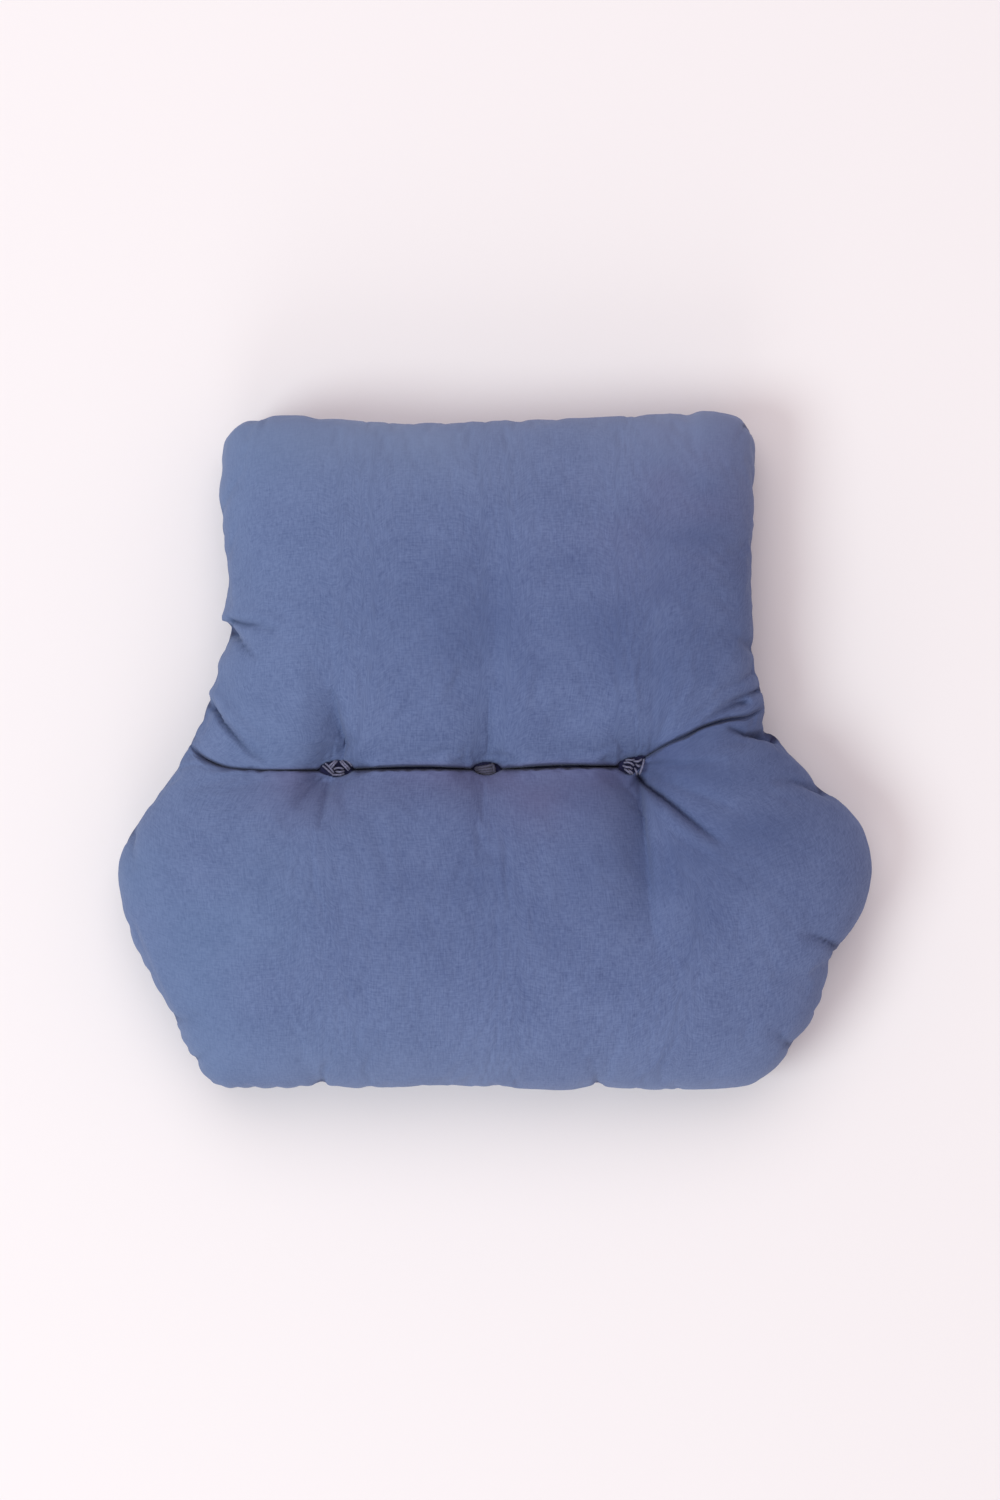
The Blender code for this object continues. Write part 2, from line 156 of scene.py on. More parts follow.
FOLDS = [
    # left edge of the upper lobe
    Fold([(-208, 102), (-188, 98), (-166, 92)], 2.6, 4, 8, pinch=6, lip=1.8, lip_at=7),
    Fold([(-212, 95), (-200, 84), (-186, 70)], 6, 4.5, 10, pinch=6, lip=3, lip_at=8),
    Fold([(-229, 36), (-218, 23), (-205, 11), (-193, -2), (-180, -9)], 8, 5, 12, pinch=8, lip=3, lip_at=9,
         tail=0.1),
    Fold([(-216, 190), (-207, 207), (-199, 220)], 1.8, 4, 4, pinch=0.8, lip=1.5, lip_at=6, head=0.3),
    Fold([(-211, 150), (-205, 166), (-201, 182)], 1.8, 4, 4, pinch=0.8, lip=1.5, lip_at=6, head=0.3),
    # troughs above the tufts
    Fold([(-123, -4), (-120, 6), (-123, 17), (-126, 40), (-132, 95)], 8.5, 17, 10, soft=True),
    Fold([(-121, -8), (-117, 6), (-121, 17), (-127, 48)], 19, 12, 2, lip=3.5, lip_at=-8),
    Fold([(-6, -4), (-4, 40), (-1, 120), (1, 190)], 8, 24, 14, soft=True),
    Fold([(-5, -8), (-3, 50)], 7, 12, 2.5),
    # below the left tuft
    Fold([(-133, -20), (-146, -34), (-156, -48)], 9, 5, 7),
    Fold([(-131, -20), (-150, -40), (-168, -60)], 9, 10, 9, soft=True),
    Fold([(-130, -20), (-133, -40), (-136, -64)], 12, 4, 10),
    Fold([(-126, -20), (-118, -40), (-112, -58)], 5, 6, 8, soft=True),
    Fold([(-136, -20), (-160, -30), (-176, -34)], 3, 6, 6, soft=True),
    # below the middle tuft
    Fold([(-6, -22), (-8, -60), (-6, -90)], 5, 18, 18, soft=True),
    # round the right tuft
    Fold([(116, -24), (117, -60), (120, -100), (123, -130), (124, -172)], 11, 14, 24, soft=True),
    Fold([(115, -24), (118, -60), (122, -110), (125, -150)], 15, 2.5, 16, lip=2.5, lip_at=7),
    Fold([(114, -20), (119, -27), (127, -34), (139, -43), (152, -54), (165, -64), (180, -74)], 12, 9, 5,
         pinch=11, lip=3, lip_at=-8),
    Fold([(122, -12), (148, -12), (184, -8)], 12, 4, 11),
    Fold([(122, -19), (150, -31), (190, -46)], 10, 6, 9),
    Fold([(124, -4), (146, 4), (174, 11)], 6, 4, 8),
    # right waist
    Fold([(226, 10), (214, 12.5), (200, 11), (187, 16)], 8, 10, 4, pinch=12, tail=0.3),
    Fold([(206, 38), (192, 36), (178, 30), (162, 20)], 8, 4, 6, pinch=7, head=0.2),
    Fold([(214, 48), (200, 43), (184, 37), (172, 30)], 6, 5, 5, pinch=4),
    Fold([(208, 62), (192, 53), (172, 44)], 4.5, 6, 6, pinch=1),
    Fold([(206, 80), (196, 86), (186, 92)], 2.4, 5, 5, soft=True, pinch=1.2),
    # right wing and bottom right
    Fold([(264, -33), (246, -29), (234, -26), (218, -26)], 6, 5, 7, pinch=4),
    Fold([(274, -160), (264, -152), (252, -147), (240, -145)], 6, 4, 7, pinch=4),
    Fold([(242, -240), (230, -231), (220, -220)], 5, 4, 7, pinch=2.5),
    # left wing and bottom left
    Fold([(-292, -62), (-289, -78), (-284, -96)], 5, 7, 5, soft=True, pinch=2),
    Fold([(-291, -126), (-281, -150), (-268, -180), (-255, -212)], 3.5, 3, 5, soft=True, pinch=1, lip=2.5,
         lip_at=5, tail=0.2, head=0.3),
    Fold([(-258, -216), (-244, -214), (-232, -208)], 3.5, 5, 5, pinch=1.5),
    Fold([(-240, -248), (-228, -240), (-218, -230)], 3, 5, 5, pinch=1.5),
    # bottom edge
    Fold([(-138, -268), (-136, -256), (-130, -244)], 3.5, 5, 5, pinch=1.5),
    Fold([(82, -268), (80, -254), (74, -240)], 3.5, 5, 5, pinch=1.5),
    # top corners
    Fold([(-182, 263), (-184, 252), (-190, 240)], 2, 5, 5, pinch=0.8),
    Fold([(204, 262), (196, 252), (190, 240)], 3, 5, 5, pinch=1.5),
]
FOLD_TAPER = 0.7
PINCH_REACH = 1.8
# How deep a fold's pinch is where the painted shade along its line is full
FULL_PINCH = 17.0
LIP_REACH = 5.0
LUMPS = [  # of the filling: centre, radius and height
    ((-150, -130), 95, 3.0), ((40, -95), 80, 2.5), ((175, -70), 75, 4.0),
    ((-60, 170), 90, 2.5), ((120, 110), 85, 2.5), ((0, 60), 45, -2.0),
]

# Where the tufts draw the cloth in: centre, reach and the share of the crown that is drawn in
DIMPLES = [((-127, -15), 30, 0.26), ((-6, -15), 26, 0.17), ((108, -14), 30, 0.26)]
SEAM_HOLD = 5.0  # how near the seam the folds end
WALL_REACH = 30.0  # how far from the seam folds are pressed in square to the cloth, not straight down

# Painted sheen, where the cloth is paler near the seams: how far from the seam of a side, and how much
PAINTED_SHEEN_SIDES = {"top": (76, 0.85), "bottom": (70, 0.36), "left": (50, 0.15)}

# Soft patches of painted shade, redder and deeper: the place along the crease and below it, how far a patch
# reaches both ways, and its strength. A patch that lies on the crease ends there.
PATCHES = {
    "painted_purple_shade": [
        (-150, 0, 45, 42, 0.34), (-50, 0, 60, 26, 0.22), (45, 0, 60, 46, 0.5), (165, -215, 95, 95, 0.22),
    ],
    "painted_deep_shade": [
        (190, 75, 110, 80, 0.48), (165, -105, 95, 85, 0.46), (-10, 95, 110, 75, 0.26),
        (-10, -120, 90, 70, 0.38), (125, 0, 55, 45, 0.42),
    ],
}
PATCH_EDGE = 6.0  # how far past the crease it fades
PAINTED_LEFT_LIGHT = 0.30  # painted key light: how much cooler and paler the cloth is at the left edge
PAINTED_LEFT_LIGHT_REACH = 190.0
# How uneven each painted tone is: its level, how much it changes, and the size in x and y and the seed of
# its patches
UNEVENNESS = {
    "painted_edge_sheen": dict(level=0.95, change=0.30, size=(48, 34), seed=61),
    "painted_purple_shade": dict(level=0.9, change=0.4, size=(33, 21), seed=71),
    "painted_deep_shade": dict(level=0.9, change=0.4, size=(33, 21), seed=91),
    "painted_left_light": dict(level=0.9, change=0.4, size=(58, 47), seed=81),
}

# Slack of the cloth that the simulation takes up between its seams, as a share of its length
EDGE_SLACK = 0.015
TUFT_SLACK = 0.045
MIDDLE_SLACK = 0.004
EDGE_SLACK_REACH = 42.0
TUFT_SLACK_REACH = 30.0
SLACK_FRAMES = 20
SLACK_CAP = 5.0  # the furthest that a point may move
SLACK_FIRM = 0.30  # how firmly the filling holds the middle
SLACK_FIRM_BACK, SLACK_TAUT_BACK = 0.05, 0.3
CREASE_HOLD = 2.0  # how near the crease the cloth is held
REST_HOLD = 1.0  # how low the back is held
CLOTH_SETTINGS = dict(
    quality=6, mass=0.3, tension_stiffness=15, compression_stiffness=15, shear_stiffness=5,
    bending_stiffness=0.5, use_pressure=True, uniform_pressure_force=3.0,
)

# Scallops of the outline where the seam is gathered: for each side the start and end of a stretch, along y
# for left and right and along x for bottom and top, and the spacing and depth of its scallops
SCALLOPS = {
    "left": [(-272, -206, 12.5, 1.1), (-200, -120, 23, 0.9), (-20, 110, 19, 1.1)],
    "right": [(-250, -140, 21, 1.3), (-60, 20, 26, 0.9)],
    "bottom": [(-230, -120, 17, 0.9), (60, 220, 24, 0.35)],
    "top": [(-200, 200, 27, 0.3)],
}
SCALLOP_REACH = 11.0
SCALLOP_BLEND = 12.0
SCALLOP_CHANGE, SCALLOP_PATCH = 0.3, 31.0  # how uneven their spacing is, over what length
SCALLOP_SEED = 41
MEAN_ARCH = 0.64  # mean height of a scallop's arch of 1
EDGE_WOBBLE, EDGE_WOBBLE_SIZE, EDGE_WOBBLE_SEED = 0.4, 14.0, 31

# Unevenness of the cloth: the size, height and seed of its waves
WAVES = [(62.0, 1.1, 3), (27.0, 0.45, 8), (11.0, 0.10, 5)]
# Puckers where the cloth is gathered into its seam
PUCKER_HEIGHT = 1.3
PUCKER_REACH, PUCKER_FADE = 13.0, 1.2
PUCKERS = [(9.0, 70.0, 1.0, 11), (4.5, 30.0, 0.5, 31)]  # spacing, length, share and seed
PUCKER_LEVEL, PUCKER_CHANGE, PUCKER_PATCH, PUCKER_SEED = 0.55, 0.45, 60.0, 61
SEAM_CLEARANCE = 4.0  # over what length from the seam waves and puckers begin
REST_CLEARANCE = 12.0  # over what height above the floor they begin on the back
SEAM_SINK = 1.6
SEAM_SINK_REACH = 2.4
# Painted shade in the groove of the edge seam
SEAM_SHADES = [(0.16, 9.0, 2), (0.55, 3.6, 4)]  # strength, reach and power
# The seam's painted shade has darker and paler stretches
SEAM_SHADE_LEVEL, SEAM_SHADE_CHANGE, SEAM_SHADE_PATCH, SEAM_SHADE_SEED = 0.85, 0.25, 42.0, 101

# The grid of the cloth, closer at its spots: place, reach and weight, each place from 0 to 1
COLUMNS = 292
LOWER_ROWS = 138
UPPER_ROWS = 116
END_SPOTS = [(0, 0.02, 2.5), (1, 0.02, 2.5)]
TUFT_SPOT = (0.04, 0.8)
LOBE_SPOTS = [(0, 0.03, 2.5), (1, 0.10, 1.5), (1, 0.015, 6.0)]
SPOT_STEPS = 4001
CURVE_STEPS = 1600
NOTCH_LENGTH = 0.16
NOTCH_SAMPLES = 17
NOTCH_FADE = 7.0
LEAST_LENGTH, LEAST_SHARE = 1e-9, 1e-6  # in place of zero
NOISE_CELLS = 128
PUCKER_PATCH_ROW = 0.5  # the row of the noise that the patches of puckers are read from
CLOTH_NOISE_START, EDGE_NOISE_START = 20, 40


def smooth_curve(points):
    """A function from 0..1, by length, to a point on a smooth curve through the points."""
    knots = np.array(points, float)
    padded = np.vstack([2 * knots[0] - knots[1], knots, 2 * knots[-1] - knots[-2]])
    fine = []
    steps = max(2, CURVE_STEPS // len(knots))
    for before, start, end, after in zip(padded, padded[1:], padded[2:], padded[3:]):
        t = np.linspace(0, 1, steps, endpoint=False)[:, None]
        tangent_in = (end - before) / 2
        tangent_out = (after - start) / 2
        fine.append(
            (2 * t**3 - 3 * t**2 + 1) * start
            + (t**3 - 2 * t**2 + t) * tangent_in
            + (3 * t**2 - 2 * t**3) * end
            + (t**3 - t**2) * tangent_out
        )
    fine = np.vstack([*fine, knots[-1:]])
    length = np.concatenate([[0], np.cumsum(np.linalg.norm(np.diff(fine, axis=0), axis=1))])
    length /= length[-1]

    def at(share):
        return np.stack([np.interp(share, length, fine[:, i]) for i in range(fine.shape[1])], -1)

    return at


def bell(distance, reach, power=2):
    """1 where the distance is 0, falling away past the reach; a higher power falls more steeply."""
    return np.exp(-(np.abs(distance / reach) ** power))


def graded(count, spots):
    """count + 1 values from 0 to 1, closer together at the spots, given as (place, reach, weight)."""
    fine = np.linspace(0, 1, SPOT_STEPS)
    density = np.ones_like(fine)
    for place, reach, weight in spots:
        density += weight * bell(fine - place, reach)
    total = np.concatenate([[0], np.cumsum((density[1:] + density[:-1]) / 2)])
    return np.interp(np.linspace(0, 1, count + 1), total / total[-1], fine)


def broad_side(side, v):
    """A side curve without its small notches, between the same two ends, past which it is mirrored."""
    points = []
    for reach in np.linspace(-NOTCH_LENGTH, NOTCH_LENGTH, NOTCH_SAMPLES):
        at = v + reach
        inside = np.clip(at, 0, 1)
        points.append(2 * side(inside) - side(2 * inside - at))
    return np.mean(points, axis=0)


def coons_patch(u, v, bottom, top, left, right):
    """Points (x, y) of the patch between four side curves; u and v are the grid's shares.

    The notches of the left and right sides fade out a short way into the patch.
    """
    u_grid, v_grid = np.meshgrid(u, v)
    u_col, v_col = u_grid[..., None], v_grid[..., None]
    across = (1 - v_col) * bottom(u)[None] + v_col * top(u)[None]
    left_broad, right_broad = broad_side(left, v)[:, None], broad_side(right, v)[:, None]
    along = (1 - u_col) * left_broad + u_col * right_broad
    along += (1 - u_col) ** NOTCH_FADE * (left(v)[:, None] - left_broad)
    along += u_col**NOTCH_FADE * (right(v)[:, None] - right_broad)
    corners = (
        (1 - u_col) * (1 - v_col) * bottom(0.0)
        + u_col * (1 - v_col) * bottom(1.0)
        + (1 - u_col) * v_col * top(0.0)
        + u_col * v_col * top(1.0)
    )
    return across + along - corners


def edge_curve(t, flatness, roundness):
    """1 well inside, falling round to 0 where t reaches 1."""
    return np.maximum(0.0, 1 - np.clip(np.abs(t), 0, 1) ** flatness) ** roundness


def softer_minimum(a, b):
    """Near the smaller of two edge curves, and 1 where both are 1."""
    a, b = np.maximum(a, LEAST_SHARE), np.maximum(b, LEAST_SHARE)
    return ((a**-CORNER_FULLNESS + b**-CORNER_FULLNESS) / 2) ** (-1 / CORNER_FULLNESS)


def ease(t):
    """From 0 to 1, level at both ends."""
    t = np.clip(t, 0, 1)
    return t * t * (3 - 2 * t)


def pocket_reach(x):
    """How far the tufts' pockets open the crease, at each x."""
    reach = np.full_like(x, SLIT_HALF_WIDTH)
    for tuft in TUFTS.values():
        half_length = tuft["length"] / 2 + POCKET_MARGIN_X
        half_width = tuft["width"] / 2 + POCKET_MARGIN_Y
        share = np.clip((x - tuft["x"]) / half_length, -1, 1)
        reach = np.maximum(reach, half_width * (1 - share**2))
    return reach


def value_noise(x, y, seed):
    """Smooth noise from -1 to 1, with a new value at each whole x and y."""
    table = np.random.default_rng(seed).uniform(-1, 1, (NOISE_CELLS, NOISE_CELLS))
    column, row = np.floor(x).astype(int), np.floor(y).astype(int)
    across, along = ease(x - column), ease(y - row)
    corner = [[table[(column + i) % NOISE_CELLS, (row + j) % NOISE_CELLS] for j in (0, 1)] for i in (0, 1)]
    low = corner[0][0] * (1 - across) + corner[1][0] * across
    high = corner[0][1] * (1 - across) + corner[1][1] * across
    return low * (1 - along) + high * along


def cloth_noise(grid, size, seed):
    """Smooth noise over a grid seen from above, with patches of the given size in x and y."""
    x, y = grid[..., 0] / size[0], grid[..., 1] / size[1]
    return value_noise(x + CLOTH_NOISE_START, y + CLOTH_NOISE_START, seed)


def edge_noise(place, size, seed):
    """Smooth noise along an edge."""
    return value_noise(place / size + EDGE_NOISE_START, np.zeros_like(place), seed)


def distance_to(xy, centre):
    return np.linalg.norm(xy - np.array(centre, float), axis=-1)


def distance_past_end(xy, path):
    """How far each point lies beyond the end of a path, along its last stretch."""
    run = path[-1] - path[-2]
    return np.maximum(0, (xy - path[-1]) @ run / np.linalg.norm(run))


def fold_relief(xy, fold):
    """What a fold adds to the height at each point, and the painted shade along its pinched line, up to 1.
    """
    path = np.array(fold.path, float)
    lengths = np.linalg.norm(np.diff(path, axis=0), axis=1)
    start_length = np.concatenate([[0], np.cumsum(lengths)])
    nearest = np.full(xy.shape[:-1], np.inf)
    signed, share = np.zeros(xy.shape[:-1]), np.zeros(xy.shape[:-1])
    for index, (start, end) in enumerate(zip(path, path[1:])):
        run = end - start
        along = np.clip(((xy - start) @ run) / (run @ run), 0, 1)
        away = xy - (start + along[..., None] * run)
        distance = np.linalg.norm(away, axis=-1)
        side = np.sign(run[0] * away[..., 1] - run[1] * away[..., 0])
        nearer = distance < nearest
        nearest = np.where(nearer, distance, nearest)
        signed = np.where(nearer, side * distance, signed)
        share = np.where(nearer, (start_length[index] + along * lengths[index]) / start_length[-1], share)
    bend = np.abs(signed) / np.where(signed > 0, fold.left, fold.right)
    profile = np.exp(-(bend**2)) if fold.soft else np.exp(-bend)
    fade = fold.tail + (1 - fold.tail) * (1 - share) ** FOLD_TAPER
    if fold.tail:
        fade = fade * bell(distance_past_end(xy, path), 2 * PINCH_REACH)
    if fold.head:
        fade = fade * ease(share / fold.head)
    line = bell(nearest, PINCH_REACH)
    lip = fold.lip * bell(signed - fold.lip_at, LIP_REACH)
    relief = lip - fold.depth * profile - fold.pinch * line
    return relief * fade, min(1, fold.pinch / FULL_PINCH) * line * fade


def front_relief(xy):
    """What folds and lumps add to the front, and the painted shade along its pinched folds."""
    relief, fold_shade = np.zeros(xy.shape[:-1]), np.zeros(xy.shape[:-1])
    for fold in FOLDS:
        added, line = fold_relief(xy, fold)
        relief += added
        fold_shade = np.maximum(fold_shade, line)
    for centre, radius, height in LUMPS:
        relief += height * bell(distance_to(xy, centre), radius)
    return relief, fold_shade


def slit_is_closed(x):
    """1 between the tufts, falling to 0 in their pockets."""
    return 1 - ease((pocket_reach(x) - SLIT_HALF_WIDTH) / POCKET_EDGE)


def rise_between_tufts(x):
    """How far the lobes have risen between the tufts at each x, from 0 in the pockets to 1."""
    rise = np.ones_like(x)
    for tuft in TUFTS.values():
        rise = rise * ease((np.abs(x - tuft["x"]) - tuft["length"] / 2 - POCKET_MARGIN_X) / SLIT_RISE_RUN)
    return rise


def pressed_together(x):
    """How tightly the lobes press together at each x, from 0 in the pockets to 1."""
    place, strength = np.array(SLIT_STRENGTH, float).T
    return slit_is_closed(x) * np.interp(x, place, strength)


def hang_lip(xy, u, v):
    """Moves the lip of the upper lobe over the slit; v runs from the top seam, 0, to the crease, 1."""
    run = np.gradient(xy[-1], axis=0)
    toward = np.stack([run[:, 1], -run[:, 0]], -1) / np.linalg.norm(run, axis=-1, keepdims=True)
    lobe_length = np.linalg.norm(np.diff(xy, axis=0), axis=-1).sum(0)
    share = (1 - v[:, None]) * lobe_length / LIP_PLACE
    reach = LIP_OVERHANG * share * np.exp(1 - share) * pressed_together(xy[-1, :, 0])
    reach = reach * edge_curve(2 * u - 1, SIDE_FLATNESS, SIDE_ROUNDNESS)
    return xy + toward * reach[..., None]


def grid_lengths(grid):
    """For each point, the length along its row and along its column, over the cloth."""
    along_row = np.zeros(grid.shape[:2])
    along_row[:, 1:] = np.cumsum(np.linalg.norm(np.diff(grid, axis=1), axis=-1), axis=1)
    along_column = np.zeros(grid.shape[:2])
    along_column[1:] = np.cumsum(np.linalg.norm(np.diff(grid, axis=0), axis=-1), axis=0)
    return along_row, along_column


def edge_distances(grid):
    """For each point, its distance over the cloth from each edge."""
    row_length, column_length = grid_lengths(grid)
    return {
        "left": row_length,
        "right": row_length[:, -1:] - row_length,
        "bottom": column_length,
        "top": column_length[-1:] - column_length,
    }


def seam_distance(grid):
    """For each point, its distance over the cloth from the edge seam."""
    return np.min(list(edge_distances(grid).values()), 0)


def grid_normals(grid):
    """The unit normals of a grid, pointing up on a level front."""
    normal = np.cross(np.gradient(grid, axis=1), np.gradient(grid, axis=0))
    return normal / np.maximum(np.linalg.norm(normal, axis=-1, keepdims=True), LEAST_LENGTH)


def gather_edges(xy):
    """Draws the scallops of the gathered seam into a whole grid's outline, and a short way in from it."""
    up_left, up_right = np.gradient(xy[:, :1], axis=0), np.gradient(xy[:, -1:], axis=0)
    along_bottom, along_top = np.gradient(xy[:1], axis=1), np.gradient(xy[-1:], axis=1)
    runs = {"left": -up_left, "right": up_right, "bottom": along_bottom, "top": -along_top}
    places = {"left": xy[:, :1, 1], "right": xy[:, -1:, 1], "bottom": xy[:1, :, 0], "top": xy[-1:, :, 0]}
    moved = xy.copy()
    for number, (side, distance) in enumerate(edge_distances(xy).items()):
        run, place = runs[side], places[side]
        outward = np.stack([run[..., 1], -run[..., 0]], -1) / np.linalg.norm(run, axis=-1, keepdims=True)
        wobble = EDGE_WOBBLE * edge_noise(place, EDGE_WOBBLE_SIZE, EDGE_WOBBLE_SEED + number)
        change = SCALLOP_CHANGE * edge_noise(place, SCALLOP_PATCH, SCALLOP_SEED + number)
        for start, end, spacing, depth in SCALLOPS[side]:
            within = ease((place - start) / SCALLOP_BLEND) * ease((end - place) / SCALLOP_BLEND)
            arch = np.abs(np.sin(np.pi * (place / spacing + change))) - MEAN_ARCH
            wobble = wobble + within * depth * arch
        moved += outward * (wobble * bell(distance, SCALLOP_REACH))[..., None]
    return moved


def lobe_heights(xy, u, v, crown, wing_droop):
    """Heights of the front and the back of a lobe; v runs from its outer seam, 0, to the crease, 1.

    With them come the painted shade of the slit and of the pockets, from how deep each point of the front
    lies in them, and how far its cloth has risen out of the crease, both from 0 to 1.
    """
    x = xy[..., 0]
    u_grid, v_grid = np.meshgrid(u, v)
    side = 2 * u_grid - 1
    across = edge_curve(side, SIDE_FLATNESS, SIDE_ROUNDNESS)
    inward = np.minimum(1, LEVEL_FADE * across)
    end = edge_curve(1 - v_grid, END_FLATNESS, END_ROUNDNESS)
    body = np.where((across == 0) | (v_grid == 0), 0, softer_minimum(across, end))
    wing = bell(v_grid - WING_PLACE, WING_REACH)
    corner = (1 - v_grid) ** DROOP_ALONG
    seam = SEAM_HEIGHT - side**DROOP_ACROSS * (CORNER_DROOP * corner + wing_droop * wing)

    lobe_length = np.linalg.norm(np.diff(xy, axis=0), axis=-1).sum(0)
    from_crease = (1 - v_grid) * lobe_length
    pocket_fade = bell(from_crease, POCKET_FADE)
    to_crease = np.clip(v_grid + pocket_reach(x) * pocket_fade / lobe_length, 0, 1)
    dip = 1 - edge_curve(to_crease, CREASE_FLATNESS, CREASE_ROUNDNESS)
    closed = pressed_together(x) * inward
    slit = closed * bell(from_crease, SLIT_REACH)
    # Painted shade in the slit where the lobes press together
    slit_shade = closed * bell(from_crease, SLIT_SHADE_REACH, 3)
    level = np.interp(x, *np.array(CREASE_LEVEL, float).T) * inward
    rise = SLIT_RISE * rise_between_tufts(x) * across * bell(from_crease, SLIT_RISE_REACH)
    drawn_in = sum(share * bell(distance_to(xy, centre), reach, 1) for centre, reach, share in DIMPLES)
    front = seam + crown * body * (1 - dip) * (1 - drawn_in) + (level + rise) * dip - SLIT_DEPTH * slit
    # Painted shade over the floor of each pocket, round its knot
    in_pocket = np.where(to_crease >= 1, 1 - slit_is_closed(x), 0)

    pull = sum(bell(x - tuft["x"], BACK_TUFT_REACH) for tuft in TUFTS.values())
    back_dip = 1 - edge_curve(v_grid, CREASE_FLATNESS, CREASE_ROUNDNESS)
    hanging = seam - BACK_DEPTH * body * (1 - (BACK_CREASE + BACK_TUFT_PULL * pull) * back_dip)
    soft = np.clip(hanging, -REST_SOFTNESS, REST_SOFTNESS)
    back = np.where(hanging > REST_SOFTNESS, hanging, (soft + REST_SOFTNESS) ** 2 / (4 * REST_SOFTNESS))
    return front, back, np.clip(slit_shade + in_pocket, 0, 1), 1 - dip


def joined(lower, upper):
    """The grids of the two lobes as one, with rows from the bottom seam to the top seam."""
    return np.concatenate([lower, upper[-2::-1]])


def cushion_surface():
    """The grids of the front and back in millimetres, and what lobe_heights says of the front's points."""
    bottom, crease, top = smooth_curve(BOTTOM_SIDE), smooth_curve(CREASE), smooth_curve(TOP_SIDE)
    shares = np.linspace(0, 1, CURVE_STEPS)
    tuft_shares = [np.interp(tuft["x"], crease(shares)[:, 0], shares) for tuft in TUFTS.values()]
    u = graded(COLUMNS, END_SPOTS + [(share, *TUFT_SPOT) for share in tuft_shares])
    lower_v, upper_v = graded(LOWER_ROWS, LOBE_SPOTS), graded(UPPER_ROWS, LOBE_SPOTS)
    left, right = smooth_curve(LOWER_LEFT_SIDE), smooth_curve(LOWER_RIGHT_SIDE)
    lower_xy = coons_patch(u, lower_v, bottom, crease, left, right)
    left, right = smooth_curve(UPPER_LEFT_SIDE[::-1]), smooth_curve(UPPER_RIGHT_SIDE[::-1])
    upper_xy = coons_patch(u, upper_v, top, crease, left, right)
    lower = lobe_heights(lower_xy, u, lower_v, LOWER_CROWN, WING_DROOP)
    upper = lobe_heights(upper_xy, u, upper_v, UPPER_CROWN, 0.0)
    front, back, painted_shade, risen = (joined(*pair) for pair in zip(lower, upper))
    front_xy = gather_edges(joined(lower_xy, hang_lip(upper_xy, u, upper_v)))
    back_xy = gather_edges(joined(lower_xy, upper_xy))
    return np.dstack([front_xy, front]), np.dstack([back_xy, back]), painted_shade, risen


def dress(grid, side_up, risen=None):
    """Folds a sheet, gathers it into its seam and makes its cloth uneven; side_up is 1 for the front.

    With the sheet comes the painted shade along its pinched folds, from 0 to 1.
    """
    to_seam = seam_distance(grid)
    shift = sum(height * cloth_noise(grid, (size, size), seed) for size, height, seed in WAVES)
    for number, (side, distance) in enumerate(edge_distances(grid).items()):
        place = grid[..., 1] if side in ("left", "right") else grid[..., 0]
        patch = place / PUCKER_PATCH + CLOTH_NOISE_START
        patches = value_noise(patch, np.full_like(patch, PUCKER_PATCH_ROW), PUCKER_SEED + number)
        ripple = sum(
            share * value_noise(place / spacing + EDGE_NOISE_START, distance / length, seed + number)
            for spacing, length, share, seed in PUCKERS
        )
        height = PUCKER_HEIGHT * (PUCKER_LEVEL + PUCKER_CHANGE * patches)
        shift += height * ripple * bell(distance, PUCKER_REACH, PUCKER_FADE)
    shift *= np.clip(to_seam / SEAM_CLEARANCE, 0, 1)
    relief, fold_shade = np.zeros_like(shift), np.zeros_like(shift)
    if side_up < 0:
        shift *= np.clip(grid[..., 2] / REST_CLEARANCE, 0, 1)
    else:
        relief, fold_shade = front_relief(grid[..., :2])
        relief = relief * (1 - bell(to_seam, SEAM_HOLD)) * ease(RELIEF_FADE * risen)
        fold_shade = fold_shade * np.clip(PINCH_FADE * risen, 0, 1)
    normals = grid_normals(grid)
    near_wall = bell(to_seam, WALL_REACH)[..., None]
    into_cloth = near_wall * normals + (1 - near_wall) * np.array([0, 0, 1.0])
    into_cloth /= np.linalg.norm(into_cloth, axis=-1, keepdims=True)
    dressed = grid + side_up * normals * shift[..., None] + into_cloth * relief[..., None]
    from_middle = np.linalg.norm(grid[..., :2], axis=-1, keepdims=True)
    sink = SEAM_SINK * bell(to_seam, SEAM_SINK_REACH)
    dressed[..., :2] -= grid[..., :2] / np.maximum(from_middle, LEAST_LENGTH) * sink[..., None]
    return dressed, fold_shade


def seam_shade(grid):
    """Painted shade in the groove of the edge seam: how deep each point lies in it."""
    to_seam = seam_distance(grid)
    groove = sum(strength * bell(to_seam, reach, power) for strength, reach, power in SEAM_SHADES)
    noise = edge_noise(grid[..., 0] + grid[..., 1], SEAM_SHADE_PATCH, SEAM_SHADE_SEED)
    return (SEAM_SHADE_LEVEL + SEAM_SHADE_CHANGE * noise) * groove


